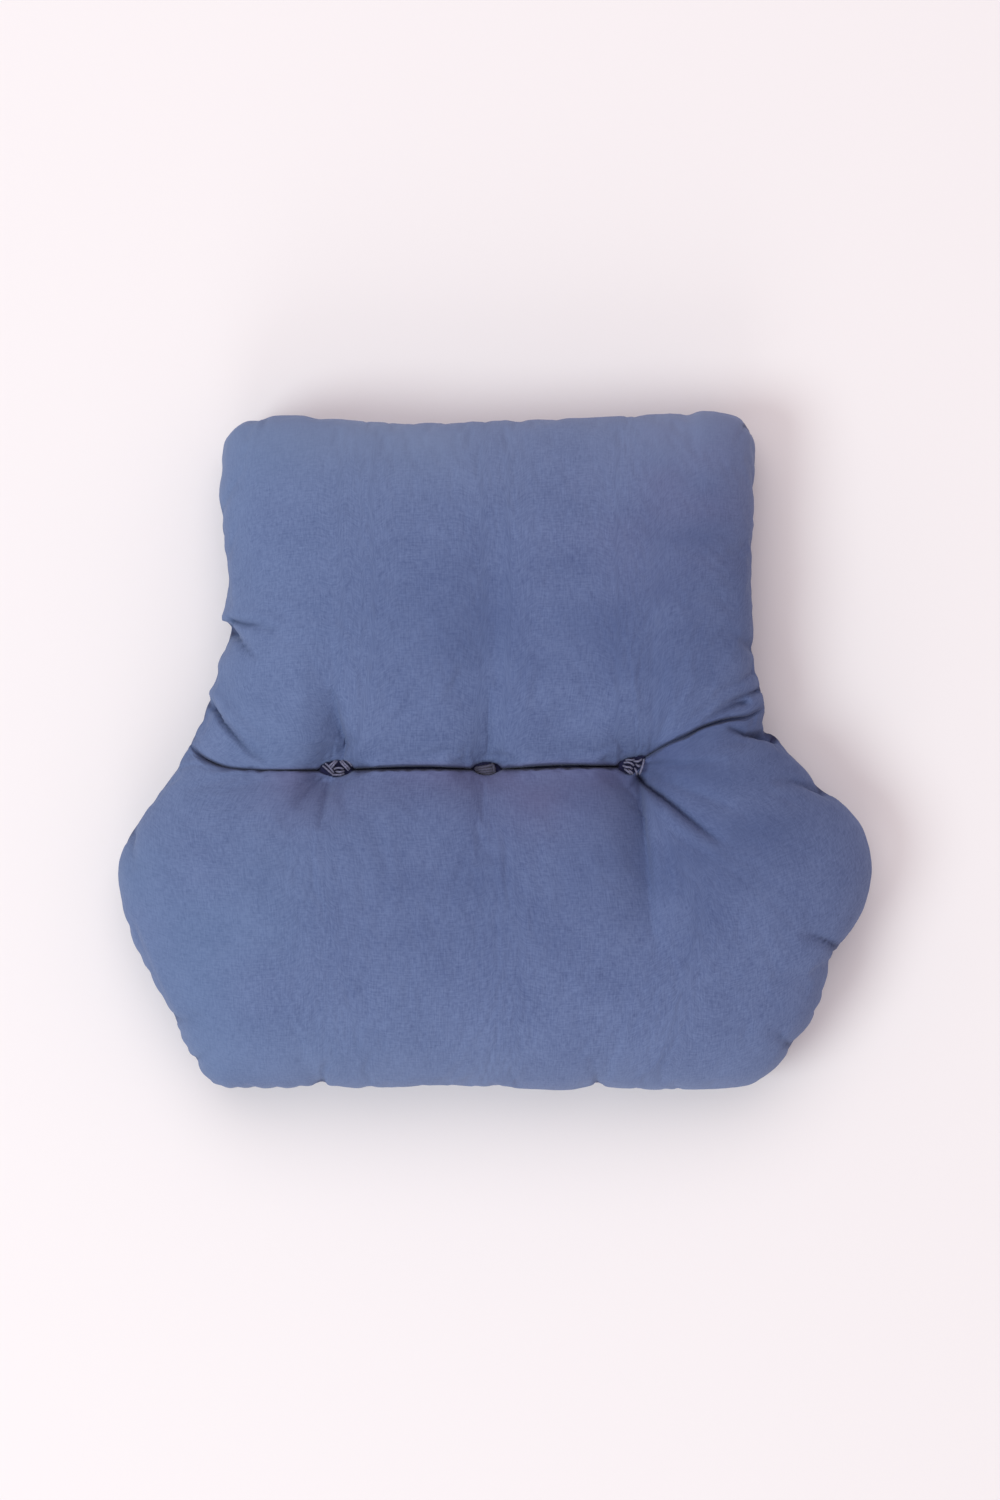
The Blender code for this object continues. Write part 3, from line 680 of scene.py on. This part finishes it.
def painted_tone_strengths(grid):
    """How strong each painted tone of sheen, light and shade is at each point of the front, from 0 to 1."""
    edges = edge_distances(grid)
    plan_length = grid_lengths(grid[..., :2])[1]
    below = plan_length[LOWER_ROWS] - plan_length
    # Painted sheen along the top, bottom and left seams
    painted_edge_sheen = [strength * bell(edges[side], reach) for side, (reach, strength) in PAINTED_SHEEN_SIDES.items()]
    strengths = {
        "painted_edge_sheen": np.max(painted_edge_sheen, 0),
        # Painted key light, cooler and paler towards the left edge
        "painted_left_light": PAINTED_LEFT_LIGHT * bell(grid[..., 0] - grid[..., 0].min(), PAINTED_LEFT_LIGHT_REACH),
    }
    for painted_tone, patches in PATCHES.items():
        strengths[painted_tone] = 0
        for x, centre_below, reach_x, reach_y, strength in patches:
            patch = strength * bell(grid[..., 0] - x, reach_x) * bell(below - centre_below, reach_y)
            kept = 1 if centre_below else ease(below / PATCH_EDGE + 1)
            strengths[painted_tone] = strengths[painted_tone] + kept * patch
    for painted_tone, uneven in UNEVENNESS.items():
        patches = uneven["level"] + uneven["change"] * cloth_noise(grid, uneven["size"], uneven["seed"])
        strengths[painted_tone] = np.clip(strengths[painted_tone] * patches, 0, 1)
    return strengths


def finer(coarse):
    """A coarse grid of moves with a new row and column between each two, placed by a cubic."""
    for axis in (0, 1):
        values = np.moveaxis(coarse, axis, 0)
        ends = np.concatenate([values[:1], values, values[-1:]])
        between = (9 * (ends[1:-2] + ends[2:-1]) - ends[:-3] - ends[3:]) / 16
        fine = np.empty((2 * len(values) - 1, *values.shape[1:]))
        fine[::2], fine[1::2] = values, between
        coarse = np.moveaxis(fine, 0, axis)
    return coarse


def grid_faces(index, order=(0, 1, 2, 3)):
    """The faces between the points of a grid of indices."""
    corners = [index[:-1, :-1], index[:-1, 1:], index[1:, 1:], index[1:, :-1]]
    return np.stack([corners[corner].ravel() for corner in order], 1).tolist()


def back_indices(front_index, step):
    """Indices of the back's points, which share the front's edge: every step-th point of both."""
    index = front_index[::step, ::step].copy()
    rows, columns = index.shape[0] - 2, index.shape[1] - 2
    index[1:-1, 1:-1] = front_index.size + np.arange(rows * columns).reshape(rows, columns)
    return index


def inner_points(grid, step):
    """Every step-th point of a grid without those on its edge."""
    return grid[::step, ::step][1:-1, 1:-1].reshape(-1, grid.shape[-1])


def add_mesh(name, vertices, faces, material, uvs=None):
    """A smooth-shaded mesh object from points in millimetres."""
    mesh = bpy.data.meshes.new(name)
    mesh.from_pydata((np.asarray(vertices) * METRES_PER_MM).tolist(), [], faces)
    mesh.update()
    mesh.shade_smooth()
    if material is not None:
        mesh.materials.append(material)
    if uvs is not None:
        layer = mesh.uv_layers.new(name="cloth")
        corners = np.zeros(len(mesh.loops), int)
        mesh.loops.foreach_get("vertex_index", corners)
        layer.data.foreach_set("uv", (np.asarray(uvs)[corners] * METRES_PER_MM).astype(np.float32).ravel())
    obj = bpy.data.objects.new(name, mesh)
    bpy.context.scene.collection.objects.link(obj)
    return obj


def add_tone(piece, tone, values):
    """Stores a value from 0 to 1 for each vertex, for the material to read."""
    values = np.clip(values, 0, 1).astype(np.float32)
    piece.data.attributes.new(tone, "FLOAT", "POINT").data.foreach_set("value", values)


def take_up_slack(front, back):
    """Simulates cloth slightly larger than its seams: how far each point of the front and back moves."""
    coarse_front, coarse_back = front[::2, ::2], back[::2, ::2]
    rows, columns = coarse_front.shape[:2]
    front_index = np.arange(rows * columns).reshape(rows, columns)
    back_index = back_indices(front_index, 1)
    points = np.vstack([coarse_front.reshape(-1, 3), inner_points(coarse_back, 1)])
    faces = grid_faces(front_index) + grid_faces(back_index, (0, 3, 2, 1))
    obj = add_mesh("slack_cloth", points, faces, None)

    to_edge = seam_distance(coarse_front)
    plan_length = grid_lengths(coarse_front[..., :2])[1]
    to_crease = np.abs(plan_length - plan_length[LOWER_ROWS // 2]) - pocket_reach(coarse_front[..., 0])
    to_tuft = np.min([distance_to(coarse_front[..., :2], centre) for centre, _, _ in DIMPLES], 0)
    slack = MIDDLE_SLACK + EDGE_SLACK * bell(to_edge, EDGE_SLACK_REACH)
    slack = slack + TUFT_SLACK * bell(to_tuft, TUFT_SLACK_REACH, 1)
    taut = 1 - np.clip(slack / (EDGE_SLACK + MIDDLE_SLACK), 0, 1)
    front_held = SLACK_FIRM * taut
    front_held[(to_edge == 0) | (to_crease < CREASE_HOLD)] = 1.0
    back_held = np.where(coarse_back[..., 2] < REST_HOLD, 1.0, SLACK_FIRM_BACK)
    back_taut = np.full_like(taut, SLACK_TAUT_BACK)
    for group_name, on_front, on_back in (("held", front_held, back_held), ("taut", taut, back_taut)):
        weights = np.round(np.concatenate([on_front.ravel(), on_back[1:-1, 1:-1].ravel()]), 2)
        group = obj.vertex_groups.new(name=group_name)
        for weight in np.unique(weights):
            group.add(np.nonzero(weights == weight)[0].tolist(), float(weight), "REPLACE")

    cloth = obj.modifiers.new("cloth", "CLOTH")
    for setting, value in CLOTH_SETTINGS.items():
        setattr(cloth.settings, setting, value)
    cloth.settings.vertex_group_mass = "held"
    cloth.settings.vertex_group_shrink = "taut"
    cloth.settings.shrink_min, cloth.settings.shrink_max = -EDGE_SLACK - MIDDLE_SLACK, -MIDDLE_SLACK
    cloth.settings.effector_weights.gravity = 0
    cloth.point_cache.frame_start, cloth.point_cache.frame_end = 1, SLACK_FRAMES
    for frame_number in range(1, SLACK_FRAMES + 1):
        bpy.context.scene.frame_set(frame_number)
    settled_mesh = obj.evaluated_get(bpy.context.evaluated_depsgraph_get()).to_mesh()
    settled = np.zeros(points.size)
    settled_mesh.vertices.foreach_get("co", settled)
    bpy.data.objects.remove(obj)
    bpy.context.scene.frame_set(1)
    moved = settled.reshape(-1, 3) / METRES_PER_MM - points
    moved *= SLACK_CAP / (SLACK_CAP + np.linalg.norm(moved, axis=-1, keepdims=True))
    front_moved, back_moved = moved[front_index], moved[back_index]
    for sheet in (front_moved, back_moved):
        sheet[[0, -1]] = 0
        sheet[:, [0, -1]] = 0
    return finer(front_moved), finer(back_moved)


def cloth_coordinates(grid):
    """Coordinates in the cloth, in millimetres: along the rows from the middle, and along the columns."""
    row_length, column_length = grid_lengths(grid)
    middle_column, crease_row = grid.shape[1] // 2, min(LOWER_ROWS, grid.shape[0] // 2)
    from_middle = row_length - row_length[:, middle_column, None]
    return np.dstack([from_middle, column_length - column_length[crease_row]])


def make_cushion(front, back, tones, material):
    """The front at full resolution and the back at half, sharing the edge seam."""
    rows, columns = front.shape[:2]
    front_index = np.arange(rows * columns).reshape(rows, columns)
    back_index = back_indices(front_index, 2)
    vertices = np.vstack([front.reshape(-1, 3), inner_points(back, 2)])
    uvs = np.vstack([cloth_coordinates(front).reshape(-1, 2), inner_points(cloth_coordinates(back), 2)])
    faces = grid_faces(front_index)
    last_row, last_column = back_index.shape[0] - 2, back_index.shape[1] - 2
    for row in range(last_row + 1):
        for column in range(last_column + 1):
            low_left, low_right = back_index[row, column], back_index[row, column + 1]
            top_left, top_right = back_index[row + 1, column], back_index[row + 1, column + 1]
            face = [low_left, top_left, top_right, low_right]
            # On the seam a face of the back also takes the front's point between two of its own
            if column == 0:
                face.insert(1, front_index[2 * row + 1, 0])
            if row == last_row:
                face.insert(face.index(top_right), front_index[-1, 2 * column + 1])
            if column == last_column:
                face.insert(face.index(low_right), front_index[2 * row + 1, -1])
            if row == 0:
                face.append(front_index[0, 2 * column + 1])
            faces.append([int(corner) for corner in face])
    piece = add_mesh("cushion_cloth", vertices, faces, material, uvs)
    for tone, on_front in tones.items():
        add_tone(piece, tone, np.concatenate([on_front.ravel(), np.zeros(len(vertices) - on_front.size)]))
    return piece


# Materials. A noise has its scale, its detail, how it is stretched along the cloth and how much it counts.
CLOTH_SHADER = {
    "Roughness": 0.9,
    "Sheen Weight": 0.14,
    "Sheen Roughness": 0.5,
    "Sheen Tint": (0.72, 0.79, 1.0, 1),
    "Specular IOR Level": 0.2,
}
WARP_NOISE = dict(scale=900, detail=2, stretch=(1.0, 0.12), share=0.34)
WEFT_NOISE = dict(scale=900, detail=2, stretch=(0.12, 1.0), share=0.28)
CLOUD_NOISE = dict(scale=26, detail=4, stretch=(1.0, 1.0), share=0.20)
SPECK_NOISE = dict(scale=420, detail=2, stretch=(1.0, 1.0), share=0.28)
CLOTH_RAMP = [(0.36, (0.062, 0.088, 0.200)), (0.64, (0.128, 0.172, 0.322))]
TONES = {
    # painted sheen: paler along the top, bottom and left seams
    "painted_edge_sheen": (0.172, 0.228, 0.372),
    # painted key light: cooler and paler towards the left edge
    "painted_left_light": (0.115, 0.190, 0.330),
    # painted shade: darker patches over the right and the middle
    "painted_deep_shade": (0.052, 0.078, 0.186),
    # painted shade: redder patches along and below the crease
    "painted_purple_shade": (0.118, 0.098, 0.200),
    # painted shade in the slit, the pockets, pinched folds and the seam's groove
    "painted_shade": (0.015, 0.016, 0.056),
}
WEAVE = {"Scale": 340, "Distortion": 0.6, "Detail": 1}
WEAVE_BUMP, NOISE_BUMP = 0.5, 1.2
CLOTH_BUMP = {"Strength": 0.35, "Distance": 0.0005}

TWINE_SHADER = {"Roughness": 0.8, "Sheen Weight": 0.3, "Sheen Roughness": 0.5}
FIBRE_NOISE = dict(scale=2500, detail=2, stretch=(1.0, 0.2), turn=0.5)
TWINE_RAMP = [(0.3, (0.07, 0.072, 0.135)), (0.7, (0.27, 0.275, 0.42))]
# Painted shade on the sides of the strands and on the lowest strands
TWINE_SHADE = (0.012, 0.011, 0.030)
TWINE_BUMP = {"Strength": 0.4, "Distance": 0.0002}

FLOOR_SHADER = {"Base Color": (0.81, 0.785, 0.795, 1), "Roughness": 0.95, "Specular IOR Level": 0.1}


class Shading:
    """A material and the nodes that make its colour and its bumps."""

    def __init__(self, name, shader_inputs):
        self.material = bpy.data.materials.new(name)
        self.material.use_nodes = True
        self.nodes, self.links = self.material.node_tree.nodes, self.material.node_tree.links
        self.shader = self.nodes["Principled BSDF"]
        for socket, value in shader_inputs.items():
            self.shader.inputs[socket].default_value = value

    def add(self, kind, inputs, **settings):
        """A new node of a kind, each input of which is set to a value or linked to another node's output."""
        node = self.nodes.new("ShaderNode" + kind)
        for setting, value in settings.items():
            setattr(node, setting, value)
        for socket, value in inputs.items():
            if isinstance(value, bpy.types.NodeSocket):
                self.links.new(value, node.inputs[socket])
            else:
                node.inputs[socket].default_value = value
        return node

    def cloth_place(self):
        return self.add("TexCoord", {}).outputs["UV"]

    def noise(self, scale, detail, stretch, turn=0.0, share=None):
        """Noise over the cloth, multiplied by its share if it has one."""
        inputs = {"Vector": self.cloth_place(), "Scale": (*stretch, 1), "Rotation": (0, 0, turn)}
        place = self.add("Mapping", inputs).outputs["Vector"]
        noise = self.add("TexNoise", {"Vector": place, "Scale": scale, "Detail": detail}).outputs["Fac"]
        return noise if share is None else self.math("MULTIPLY", noise, share)

    def math(self, operation, a, b):
        return self.add("Math", {0: a, 1: b}, operation=operation).outputs[0]

    def ramp(self, value, stops):
        node = self.add("ValToRGB", {"Fac": value})
        for element, (position, colour) in zip(node.color_ramp.elements, stops):
            element.position, element.color = position, (*colour, 1)
        return node.outputs["Color"]

    def toned(self, colour, tone, tone_colour):
        """The colour, with another in its place where the vertices have that tone."""
        strength = self.add("Attribute", {}, attribute_name=tone).outputs["Fac"]
        inputs = {"Factor": strength, "A": colour, "B": (*tone_colour, 1)}
        return self.add("Mix", inputs, data_type="RGBA").outputs["Result"]

    def finish(self, colour, height, bump_inputs):
        """Links the colour and the bumps to the shader."""
        bump = self.add("Bump", {"Height": height, **bump_inputs})
        self.links.new(colour, self.shader.inputs["Base Color"])
        self.links.new(bump.outputs["Normal"], self.shader.inputs["Normal"])
        return self.material


def cloth_material():
    """Plain-woven, matt cotton: slightly slubby yarns, mottled dye, a soft nap."""
    shading = Shading("slate_blue_cotton", CLOTH_SHADER)
    yarns = shading.math("ADD", shading.noise(**WARP_NOISE), shading.noise(**WEFT_NOISE))
    mottling = shading.math("ADD", shading.noise(**CLOUD_NOISE), shading.noise(**SPECK_NOISE))
    shade = shading.math("ADD", yarns, mottling)
    colour = shading.ramp(shade, CLOTH_RAMP)
    # The vertex tones paint shade, sheen and key light over the cloth's own colour
    for tone, tone_colour in TONES.items():
        colour = shading.toned(colour, tone, tone_colour)
    place = shading.cloth_place()
    inputs = {"Vector": place, **WEAVE}
    waves = [shading.add("TexWave", inputs, bands_direction=axis).outputs["Fac"] for axis in "XY"]
    weave = shading.math("MULTIPLY", shading.math("MAXIMUM", *waves), WEAVE_BUMP)
    height = shading.math("ADD", weave, shading.math("MULTIPLY", shade, NOISE_BUMP))
    return shading.finish(colour, height, CLOTH_BUMP)


def twine_material():
    """Spun cotton twine: fine fibres that wind round each strand."""
    shading = Shading("blue_grey_twine", TWINE_SHADER)
    fibres = shading.noise(**FIBRE_NOISE)
    # Painted shade on the sides of the strands and on the lowest strands
    colour = shading.toned(shading.ramp(fibres, TWINE_RAMP), "painted_shade", TWINE_SHADE)
    return shading.finish(colour, fibres, TWINE_BUMP)


# Strands of each tuft: points in millimetres from the middle of its box, with their height as a share of
# the box's
STRANDS = {
    "tuft_left": [
        [(-11.6, 2.4, 0.25), (-8.5, -0.2, 0.5), (-5.3, -3, 0.5), (-2.9, -5, 0.25)],
        [(-9.6, 4.3, 0.3), (-6.5, 1.6, 0.6), (-4, -1.4, 0.6), (-2.4, -3.4, 0.35)],
        [(-6.9, 0.9, 0.4), (-4.9, 2.9, 0.8), (-2.9, 4.7, 0.8), (-0.9, 6.4, 0.45)],
        [(-4.9, 0, 0.4), (-3.2, 2, 0.85), (-1.6, 3.9, 0.8), (0.3, 6, 0.4)],
        [(2.3, 5.9, 0.45), (4.7, 3.1, 0.9), (7.1, 0.7, 0.9), (9.1, -1.7, 0.45)],
        [(3.6, 6.6, 0.4), (6, 4, 0.8), (8.4, 1.6, 0.8), (10.2, -0.5, 0.4)],
        [(6.6, 7.2, 0.55), (8.5, 5.8, 0.7), (10.5, 3.9, 0.7), (12, 1.8, 0.45)],
        [(-2.6, -0.6, 0.3), (0, 0.4, 0.65), (2.7, 0.4, 0.7), (5.3, -0.3, 0.4)],
        [(-1, -2.3, 0.35), (1.1, -2.6, 0.75), (3.5, -2.6, 0.75), (5.9, -2, 0.35)],
        [(-3.9, -5, 0.3), (-0.5, -5, 0.6), (2.7, -4.9, 0.6), (5.9, -3.9, 0.3)],
    ],
    "tuft_centre": [
        [(-10.4, -0.3, 0.3), (-6, 0.8, 0.7), (-1, 1.6, 0.85), (5, 3, 0.6)],
        [(-10, -1.6, 0.25), (-5, -0.9, 0.75), (0, -0.5, 0.9), (5.4, 0.3, 0.6)],
        [(-8.6, -3, 0.2), (-4, -2.7, 0.7), (0.5, -2.4, 0.8), (5.2, -1.9, 0.5)],
        [(-6, -4.3, 0.1), (-2, -4.1, 0.5), (1.5, -4, 0.6), (5, -3.9, 0.35)],
        [(3.4, 4, 0.3), (4.6, 1.6, 0.75), (5.2, -1, 0.75), (5.2, -3.6, 0.4)],
    ],
    "tuft_right": [
        [(-5.6, 2.6, 0.4), (-2.2, 2.9, 0.75), (0.8, 1.8, 0.75), (2.6, 0.2, 0.45)],
        [(-4.2, 4.6, 0.35), (-1.4, 4.9, 0.6), (1, 4.7, 0.55), (3, 5.2, 0.35)],
        [(2.2, 4, 0.45), (4.4, 3.6, 0.85), (6.6, 3.9, 0.85), (9, 5.6, 0.5)],
        [(-6.4, 0.4, 0.35), (-3.4, -0.8, 0.75), (-0.8, -1, 0.8), (1.4, -2.4, 0.45)],
        [(-5, -2.2, 0.35), (-3, -3.8, 0.75), (-1.2, -5.2, 0.7), (0.2, -6.6, 0.35)],
        [(-2, -2.8, 0.35), (-0.6, -4, 0.7), (0.8, -5.2, 0.65), (1.8, -6.8, 0.3)],
        [(3.2, -1.6, 0.45), (4, -3.4, 0.85), (4.6, -5, 0.8), (4.8, -6.8, 0.4)],
        [(4.2, 1.6, 0.4), (5.4, 0.4, 0.8), (6.6, -0.2, 0.8), (7.4, 0.8, 0.45)],
        [(10.6, 5.8, 0.6), (9.8, 1.6, 0.85), (8.4, -2.8, 0.85), (6.8, -6.8, 0.5)],
    ],
}
# Radius of each tuft's strands, and how much painted shade lies over the whole tuft
STRAND_LOOKS = {
    "tuft_left": dict(radius=0.85, shade=0.0),
    "tuft_centre": dict(radius=1.25, shade=0.62),
    "tuft_right": dict(radius=0.85, shade=0.05),
}
# Painted shade on the sides of each strand and on the lowest strands
SIDE_SHADE = 1.5  # how dark the sides of a strand are
LOW_SHADE = 0.5  # how dark the lowest strands are
STRAND_PLIES, PLY_DEPTH = 3, 0.20
STRAND_PITCH = 4.0
STRAND_TIP = 0.02  # roundness left at its very end
STRAND_SIDES = 15
STRAND_STEPS = 34


def strand_tube(points, radius):
    """A twisted strand along a smooth curve, with round ends.

    Its vertices, faces and cloth coordinates, and how far each vertex faces up.
    """
    path = smooth_curve(points)(np.linspace(0, 1, STRAND_STEPS))
    lengths = np.concatenate([[0], np.cumsum(np.linalg.norm(np.diff(path, axis=0), axis=1))])
    tangents = np.gradient(path, axis=0)
    tangents /= np.linalg.norm(tangents, axis=1, keepdims=True)
    side = np.cross(tangents[0], [0, 0, 1.0])
    vertices, uvs, facing_up = [], [], []
    turns = np.linspace(0, 2 * np.pi, STRAND_SIDES, endpoint=False)
    for point, tangent, length in zip(path, tangents, lengths):
        side = side - tangent * (side @ tangent)
        side /= np.linalg.norm(side)
        up = np.cross(tangent, side)
        to_end = np.clip(min(length, lengths[-1] - length) / radius, 0, 1)
        end_round = np.sqrt(np.clip(1 - (1 - to_end) ** 2, STRAND_TIP, 1))
        twist = 2 * np.pi * length / (STRAND_PITCH * STRAND_PLIES)
        ply = np.abs(np.cos(STRAND_PLIES / 2 * (turns - twist)))
        reach = radius * end_round * (1 - PLY_DEPTH + PLY_DEPTH * ply)
        outward = np.cos(turns)[:, None] * side + np.sin(turns)[:, None] * up
        vertices.extend(point + reach[:, None] * outward)
        facing_up.extend(outward[:, 2])
        uvs.extend(np.stack([turns * radius, np.full_like(turns, length)], 1))
    ring = np.arange(STRAND_STEPS * STRAND_SIDES).reshape(STRAND_STEPS, STRAND_SIDES)
    faces = grid_faces(np.hstack([ring, ring[:, :1]])) + [ring[0, ::-1].tolist(), ring[-1].tolist()]
    return vertices, faces, uvs, facing_up


def make_tuft(name, material):
    """The knot of a tuft: its strands, lying in the box of the tuft's solid."""
    low, high = (np.array(corner) / METRES_PER_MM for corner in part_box(name))
    middle, radius = (low + high) / 2, STRAND_LOOKS[name]["radius"]
    vertices, faces, uvs, shades = [], [], [], []
    for strand in STRANDS[name]:
        points = np.array(strand, float)
        steps = np.linspace(0, 1, STRAND_STEPS)
        heights = np.interp(steps, np.linspace(0, 1, len(points)), points[:, 2])
        points[:, :2] += middle[:2]
        points[:, 2] = low[2] + radius + points[:, 2] * (high[2] - low[2] - 2 * radius)
        tube_vertices, tube_faces, tube_uvs, facing_up = strand_tube(points, radius)
        faces.extend([[corner + len(vertices) for corner in face] for face in tube_faces])
        vertices.extend(tube_vertices)
        uvs.extend(tube_uvs)
        # Painted shade on the lowest strands and on the sides of each strand
        low_shade = LOW_SHADE * (1 - np.repeat(heights, STRAND_SIDES))
        side_shade = SIDE_SHADE * (1 - np.array(facing_up)) ** 2
        shades.extend(side_shade + low_shade + STRAND_LOOKS[name]["shade"])
    piece = add_mesh(name + "_twine", vertices, faces, material, uvs)
    add_tone(piece, "painted_shade", shades)
    return piece


# The cushion and its tufts
front, back, painted_shade, risen = cushion_surface()
middle = (front[..., :2].min((0, 1)) + front[..., :2].max((0, 1))) / 2
shift_to_frame = np.array([middle[0], middle[1], 0.0])
front, fold_shade = dress(front, 1, risen)
back, _ = dress(back, -1)
front_moved, back_moved = take_up_slack(front, back)
front, back = front + front_moved, back + back_moved
back[..., 2] = np.maximum(back[..., 2], 0)
# The darkest tone is painted shade in the slit, the pockets, pinched folds and the seam's groove
tones = {"painted_shade": painted_shade + fold_shade + seam_shade(front), **painted_tone_strengths(front)}
cushion = make_cushion(front - shift_to_frame, back - shift_to_frame, tones, cloth_material())
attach(cushion, "root")
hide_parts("cushion")

twine = twine_material()
for tuft_name in TUFTS:
    tuft_piece = make_tuft(tuft_name, twine)
    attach(tuft_piece, "root")
    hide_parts(tuft_name)

# Floor, light and camera, in metres
FLOOR_SIZE = 14.0
WORLD_COLOUR, WORLD_STRENGTH = (1.0, 0.86, 0.89, 1), 0.61
LIGHTS = {
    "key": dict(location=(-3.7, -1.7, 4.8), size=3.0, watts=168, colour=(0.87, 1.0, 1.0)),
    "overhead": dict(location=(-0.4, 2.6, 4.6), size=4.8, watts=95, colour=(1.0, 0.96, 0.95)),
    "fill": dict(location=(-0.8, -4.6, 2.4), size=3.0, watts=50, colour=(0.96, 1.0, 0.98)),
}
CAMERA_DISTANCE = 3.0
FRAME_HEIGHT = 1.2
OUTLINE_HEIGHT = 0.05
SENSOR_SIZE = 36.0  # millimetres
PIXEL = 0.8  # millimetres at the height of the outline
PHOTO_MIDDLE, TABLES_ORIGIN = np.array([500, 750]), np.array([494.5, 749.5])  # pixels, from the top left

bpy.ops.mesh.primitive_plane_add(size=FLOOR_SIZE)
floor = bpy.context.object
floor.name = "floor"
floor.data.materials.append(Shading("pale_floor", FLOOR_SHADER).material)

scene = bpy.context.scene
world = bpy.data.worlds.new("studio")
scene.world = world
world.use_nodes = True
world.node_tree.nodes["Background"].inputs["Color"].default_value = WORLD_COLOUR
world.node_tree.nodes["Background"].inputs["Strength"].default_value = WORLD_STRENGTH

for light_name, looks in LIGHTS.items():
    light = bpy.data.lights.new(light_name, "AREA")
    light.shape = "DISK"
    light.size = looks["size"]
    light.energy = looks["watts"]
    light.color = looks["colour"]
    lamp = bpy.data.objects.new(light_name, light)
    lamp.location = looks["location"]
    lamp.rotation_euler = lamp.location.to_track_quat("Z", "Y").to_euler()
    scene.collection.objects.link(lamp)

camera_data = bpy.data.cameras.new("camera")
camera_data.sensor_width = SENSOR_SIZE
camera_data.lens = SENSOR_SIZE * CAMERA_DISTANCE / FRAME_HEIGHT
camera = bpy.data.objects.new("camera", camera_data)
photo_middle = (PHOTO_MIDDLE - TABLES_ORIGIN) * PIXEL * np.array([1, -1])
aim = (photo_middle - middle) * METRES_PER_MM
camera.location = (aim[0], aim[1], OUTLINE_HEIGHT + CAMERA_DISTANCE)
scene.collection.objects.link(camera)
scene.camera = camera
scene.view_settings.view_transform = "Standard"
